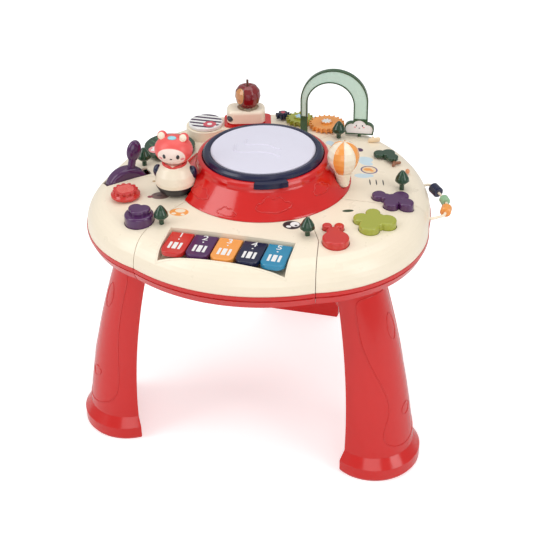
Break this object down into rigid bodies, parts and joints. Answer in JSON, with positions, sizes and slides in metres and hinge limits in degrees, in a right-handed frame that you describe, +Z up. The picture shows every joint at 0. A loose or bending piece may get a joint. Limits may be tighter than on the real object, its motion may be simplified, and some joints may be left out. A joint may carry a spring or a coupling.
{
  "type": "musical activity table",
  "caption": "Round six-module activity table for toddlers with a central lift-out drum, piano keys, press buttons, spinning toys and a rainbow arch, on three splayed legs.",
  "frame": {"origin": "on the floor under the centre of the drum", "axes": "+Z up; the piano keys face -Y, so +X is to the right of a child at the keys"},
  "size_m": [0.4712, 0.4737, 0.429],
  "materials": {
    "red_plastic": "glossy moulded plastic",
    "cream_plastic": "satin moulded plastic",
    "navy_plastic": "glossy moulded plastic",
    "purple_plastic": "glossy moulded plastic",
    "green_plastic": "glossy moulded plastic",
    "olive_plastic": "glossy moulded plastic",
    "orange_plastic": "glossy moulded plastic",
    "teal_plastic": "glossy moulded plastic",
    "white_plastic": "satin moulded plastic",
    "mint_plastic": "glossy printed plastic",
    "apple_plastic": "glossy plastic",
    "print": "printed disc",
    "coral_plastic": "satin plastic",
    "board": "circuit board",
    "steel": "plated steel",
    "dark_plastic": "matte plastic"
  },
  "bodies": {
    "root": {"panel_front": "cream_plastic", "panel_back_right": "cream_plastic", "panel_back_left": "cream_plastic", "panel_leg_right": "cream_plastic", "panel_leg_left": "cream_plastic", "panel_leg_back": "cream_plastic", "base_front": "red_plastic", "base_back_right": "red_plastic", "base_back_left": "red_plastic", "base_leg_right": "red_plastic", "base_leg_left": "red_plastic", "base_leg_back": "red_plastic", "leg_right": "red_plastic", "leg_left": "red_plastic", "leg_back": "red_plastic", "key_tray": "cream_plastic", "rainbow_frame": "green_plastic", "rainbow_panel": "mint_plastic", "bead_rod": "cream_plastic", "tree_pegs": "green_plastic", "bush": "green_plastic", "drum_housing": "red_plastic", "centre_base": "red_plastic", "battery_door": "red_plastic", "battery_cells": "steel", "circuit_board": "board", "speaker": "dark_plastic", "plate_screws": "steel", "car_track": "red_plastic"},
    "key_1": {"key_1": "red_plastic"},
    "key_2": {"key_2": "purple_plastic"},
    "key_3": {"key_3": "orange_plastic"},
    "key_4": {"key_4": "navy_plastic"},
    "key_5": {"key_5": "teal_plastic"},
    "drum": {"drum_ring": "navy_plastic"},
    "drum_head": {"drum_head": "white_plastic"},
    "radish_button": {"radish_button": "red_plastic"},
    "leaf_button": {"leaf_button": "olive_plastic"},
    "grape_button": {"grape_button": "purple_plastic"},
    "push_knob": {"push_knob": "purple_plastic"},
    "dial": {"dial": "red_plastic"},
    "lever": {"lever": "purple_plastic"},
    "picture_disc": {"picture_disc": "green_plastic"},
    "stripe_disc": {"stripe_disc": "print"},
    "gear_orange": {"gear_orange": "orange_plastic"},
    "gear_olive": {"gear_olive": "olive_plastic"},
    "gear_navy": {"gear_navy": "navy_plastic"},
    "car": {"car": "cream_plastic"},
    "apple": {"apple": "apple_plastic"},
    "figure": {"figure_body": "cream_plastic", "figure_head": "coral_plastic"},
    "balloon": {"balloon": "orange_plastic", "balloon_basket": "cream_plastic"},
    "bead_navy": {"bead_navy": "navy_plastic"},
    "bead_mint": {"bead_mint": "mint_plastic"},
    "bead_orange": {"bead_orange": "orange_plastic"},
    "latch_right": {"latch_right": "red_plastic"},
    "latch_left": {"latch_left": "red_plastic"},
    "latch_back": {"latch_back": "red_plastic"}
  },
  "joints": [
    {"name": "key_1_press", "type": "hinge", "parent": "root", "child": "key_1", "pos_m": [-0.0604, -0.148, 0.3248], "axis": [1, 0, 0], "range_deg": [0, 3.5], "stiffness_Nm_per_rad": 0.12, "springref_deg": -1.72},
    {"name": "key_2_press", "type": "hinge", "parent": "root", "child": "key_2", "pos_m": [-0.0302, -0.148, 0.3248], "axis": [1, 0, 0], "range_deg": [0, 3.5], "stiffness_Nm_per_rad": 0.12, "springref_deg": -1.72},
    {"name": "key_3_press", "type": "hinge", "parent": "root", "child": "key_3", "pos_m": [0, -0.148, 0.3248], "axis": [1, 0, 0], "range_deg": [0, 3.5], "stiffness_Nm_per_rad": 0.12, "springref_deg": -1.72},
    {"name": "key_4_press", "type": "hinge", "parent": "root", "child": "key_4", "pos_m": [0.0302, -0.148, 0.3248], "axis": [1, 0, 0], "range_deg": [0, 3.5], "stiffness_Nm_per_rad": 0.12, "springref_deg": -1.72},
    {"name": "key_5_press", "type": "hinge", "parent": "root", "child": "key_5", "pos_m": [0.0604, -0.148, 0.3248], "axis": [1, 0, 0], "range_deg": [0, 3.5], "stiffness_Nm_per_rad": 0.12, "springref_deg": -1.72},
    {"name": "drum_lift", "type": "slide", "parent": "root", "child": "drum", "axis": [0, 0, 1], "range_m": [0, 0.05]},
    {"name": "drum_tap", "type": "slide", "parent": "drum", "child": "drum_head", "axis": [0, 0, -1], "range_m": [0, 0.0015], "stiffness_N_per_m": 3000, "springref_m": -0.001},
    {"name": "radish_button_press", "type": "slide", "parent": "root", "child": "radish_button", "axis": [0, 0, -1], "range_m": [0, 0.003], "stiffness_N_per_m": 400, "springref_m": -0.002},
    {"name": "leaf_button_press", "type": "slide", "parent": "root", "child": "leaf_button", "axis": [0, 0, -1], "range_m": [0, 0.003], "stiffness_N_per_m": 400, "springref_m": -0.002},
    {"name": "grape_button_press", "type": "slide", "parent": "root", "child": "grape_button", "axis": [0, 0, -1], "range_m": [0, 0.003], "stiffness_N_per_m": 400, "springref_m": -0.002},
    {"name": "push_knob_press", "type": "slide", "parent": "root", "child": "push_knob", "axis": [0, 0, -1], "range_m": [0, 0.004], "stiffness_N_per_m": 400, "springref_m": -0.002},
    {"name": "dial_turn", "type": "hinge", "parent": "root", "child": "dial", "pos_m": [-0.157, -0.0818, 0.34], "axis": [0, 0, 1], "range_deg": [-60, 60]},
    {"name": "lever_rock", "type": "hinge", "parent": "root", "child": "lever", "pos_m": [-0.176, -0.029, 0.319], "axis": [-0.6374, 0.7705, 0], "range_deg": [-28, 10]},
    {"name": "picture_disc_spin", "type": "hinge", "parent": "root", "child": "picture_disc", "pos_m": [-0.144, 0.05, 0.342], "axis": [0, 0, 1], "continuous": true},
    {"name": "stripe_disc_spin", "type": "hinge", "parent": "root", "child": "stripe_disc", "pos_m": [-0.112, 0.11, 0.353], "axis": [0, 0, 1], "continuous": true},
    {"name": "gear_orange_spin", "type": "hinge", "parent": "root", "child": "gear_orange", "pos_m": [0.04394, 0.17008, 0.34], "axis": [0, 0, 1], "continuous": true},
    {"name": "gear_olive_spin", "type": "hinge", "parent": "root", "child": "gear_olive", "pos_m": [0.0038, 0.1768, 0.34], "axis": [0, 0, 1], "continuous": true},
    {"name": "gear_navy_spin", "type": "hinge", "parent": "root", "child": "gear_navy", "pos_m": [-0.02187, 0.18296, 0.34], "axis": [0, 0, 1], "continuous": true},
    {"name": "car_slide", "type": "slide", "parent": "root", "child": "car", "axis": [0.9613, 0.2756, 0], "range_m": [-0.004, 0.004]},
    {"name": "apple_spin", "type": "hinge", "parent": "car", "child": "apple", "pos_m": [-0.058, 0.133, 0.388], "axis": [0, 0, 1], "continuous": true},
    {"name": "figure_spin", "type": "hinge", "parent": "root", "child": "figure", "pos_m": [-0.098, -0.058, 0.36], "axis": [0, 0, 1], "continuous": true},
    {"name": "balloon_spin", "type": "hinge", "parent": "root", "child": "balloon", "pos_m": [0.104, -0.002, 0.36], "axis": [0, 0, 1], "continuous": true},
    {"name": "bead_navy_spin", "type": "hinge", "parent": "root", "child": "bead_navy", "pos_m": [0.2115, 0.07875, 0.30625], "axis": [0.6121, -0.7893, -0.0483], "continuous": true},
    {"name": "bead_mint_spin", "type": "hinge", "parent": "root", "child": "bead_mint", "pos_m": [0.22625, 0.05675, 0.30475], "axis": [0.473, -0.8785, -0.0676], "continuous": true},
    {"name": "bead_orange_spin", "type": "hinge", "parent": "root", "child": "bead_orange", "pos_m": [0.23125, 0.0345, 0.30325], "axis": [-0.02, -0.998, -0.0599], "continuous": true},
    {"name": "latch_right_press", "type": "slide", "parent": "root", "child": "latch_right", "axis": [-0.866, 0.5, 0], "range_m": [0, 0.003], "stiffness_N_per_m": 600, "springref_m": -0.002},
    {"name": "latch_left_press", "type": "slide", "parent": "root", "child": "latch_left", "axis": [0.866, 0.5, 0], "range_m": [0, 0.003], "stiffness_N_per_m": 600, "springref_m": -0.002},
    {"name": "latch_back_press", "type": "slide", "parent": "root", "child": "latch_back", "axis": [0, -1, 0], "range_m": [0, 0.003], "stiffness_N_per_m": 600, "springref_m": -0.002}
  ],
  "couplings": [
    {"joint": "gear_olive_spin", "follows": "gear_orange_spin", "ratio": -1.3125},
    {"joint": "gear_navy_spin", "follows": "gear_orange_spin", "ratio": 2.625}
  ]
}
